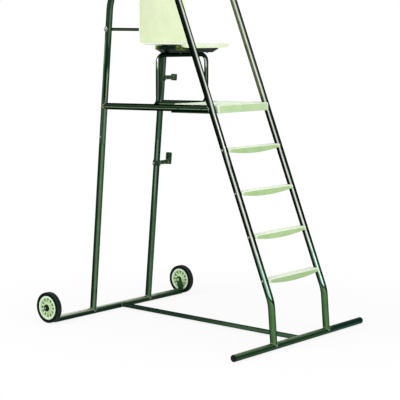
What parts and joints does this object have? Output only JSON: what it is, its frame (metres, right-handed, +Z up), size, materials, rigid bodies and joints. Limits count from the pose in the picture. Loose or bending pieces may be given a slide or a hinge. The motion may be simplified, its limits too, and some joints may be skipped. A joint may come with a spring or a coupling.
{
  "type": "lifeguard chair",
  "caption": "Wheeled lifeguard tower of bent polished tube: ladder front with plastic treads, footboard, moulded seat high between the side hoops and a parasol holder on a rear leg.",
  "frame": {"origin": "on the floor, at the middle of the overall box", "axes": "+X the way the sitter faces, +Y the sitter's left, +Z up"},
  "size_m": [1.6636, 1.3644, 2.2995],
  "materials": {
    "polished_tube": "polished stainless tube",
    "bright_steel": "bright fasteners",
    "dark_steel": "dark satin paint",
    "white_plastic": "moulded, fine grain",
    "rim_plastic": "moulded",
    "black_plastic": "moulded, black",
    "tyre_rubber": "solid black rubber"
  },
  "bodies": {
    "chair_frame": {"axle_bolt_left": "bright_steel", "axle_bolt_right": "bright_steel", "axle_nut_left": "bright_steel", "axle_nut_right": "bright_steel", "bar_plug_left": "black_plastic", "bar_plug_right": "black_plastic", "centre_spine": "polished_tube", "footboard": "white_plastic", "footboard_bolt_front_left": "bright_steel", "footboard_bolt_front_right": "bright_steel", "footboard_bolt_rear_left": "bright_steel", "footboard_bolt_rear_right": "bright_steel", "front_base_bar": "polished_tube", "hoop_left": "polished_tube", "hoop_right": "polished_tube", "hub_washer_left": "black_plastic", "hub_washer_right": "black_plastic", "leg_spigot_left": "dark_steel", "leg_spigot_right": "dark_steel", "parasol_cup": "polished_tube", "parasol_ring": "polished_tube", "rail_left": "polished_tube", "rail_right": "polished_tube", "rear_base_bar": "polished_tube", "rear_leg_left": "polished_tube", "rear_leg_right": "polished_tube", "seat_frame": "polished_tube", "seat_saddle": "dark_steel", "seat_screw_front_left": "bright_steel", "seat_screw_front_right": "bright_steel", "seat_screw_rear_left": "bright_steel", "seat_screw_rear_right": "bright_steel", "seat_shell": "white_plastic", "set_screw_cup": "bright_steel", "set_screw_ring": "bright_steel", "spigot_screw_left": "bright_steel", "spigot_screw_right": "bright_steel", "tie_rod": "polished_tube", "tie_rod_nut_left": "bright_steel", "tie_rod_nut_right": "bright_steel", "tread_1": "white_plastic", "tread_2": "white_plastic", "tread_3": "white_plastic", "tread_4": "white_plastic", "tread_bolt_1_left": "bright_steel", "tread_bolt_1_right": "bright_steel", "tread_bolt_2_left": "bright_steel", "tread_bolt_2_right": "bright_steel", "tread_bolt_3_left": "bright_steel", "tread_bolt_3_right": "bright_steel", "tread_bolt_4_left": "bright_steel", "tread_bolt_4_right": "bright_steel", "wheel_plate_left": "dark_steel", "wheel_plate_right": "dark_steel"},
    "wheel_right": {"wheel_rim_right": "rim_plastic", "tyre_right": "tyre_rubber", "hub_bush_right": "black_plastic"},
    "wheel_left": {"wheel_rim_left": "rim_plastic", "tyre_left": "tyre_rubber", "hub_bush_left": "black_plastic"}
  },
  "joints": [
    {"name": "wheel_right_spin", "type": "hinge", "parent": "chair_frame", "child": "wheel_right", "pos_m": [-0.73184, -0.6466, 0.101], "axis": [0, 1, 0], "continuous": true},
    {"name": "wheel_left_spin", "type": "hinge", "parent": "chair_frame", "child": "wheel_left", "pos_m": [-0.73184, 0.6466, 0.101], "axis": [0, 1, 0], "continuous": true}
  ]
}
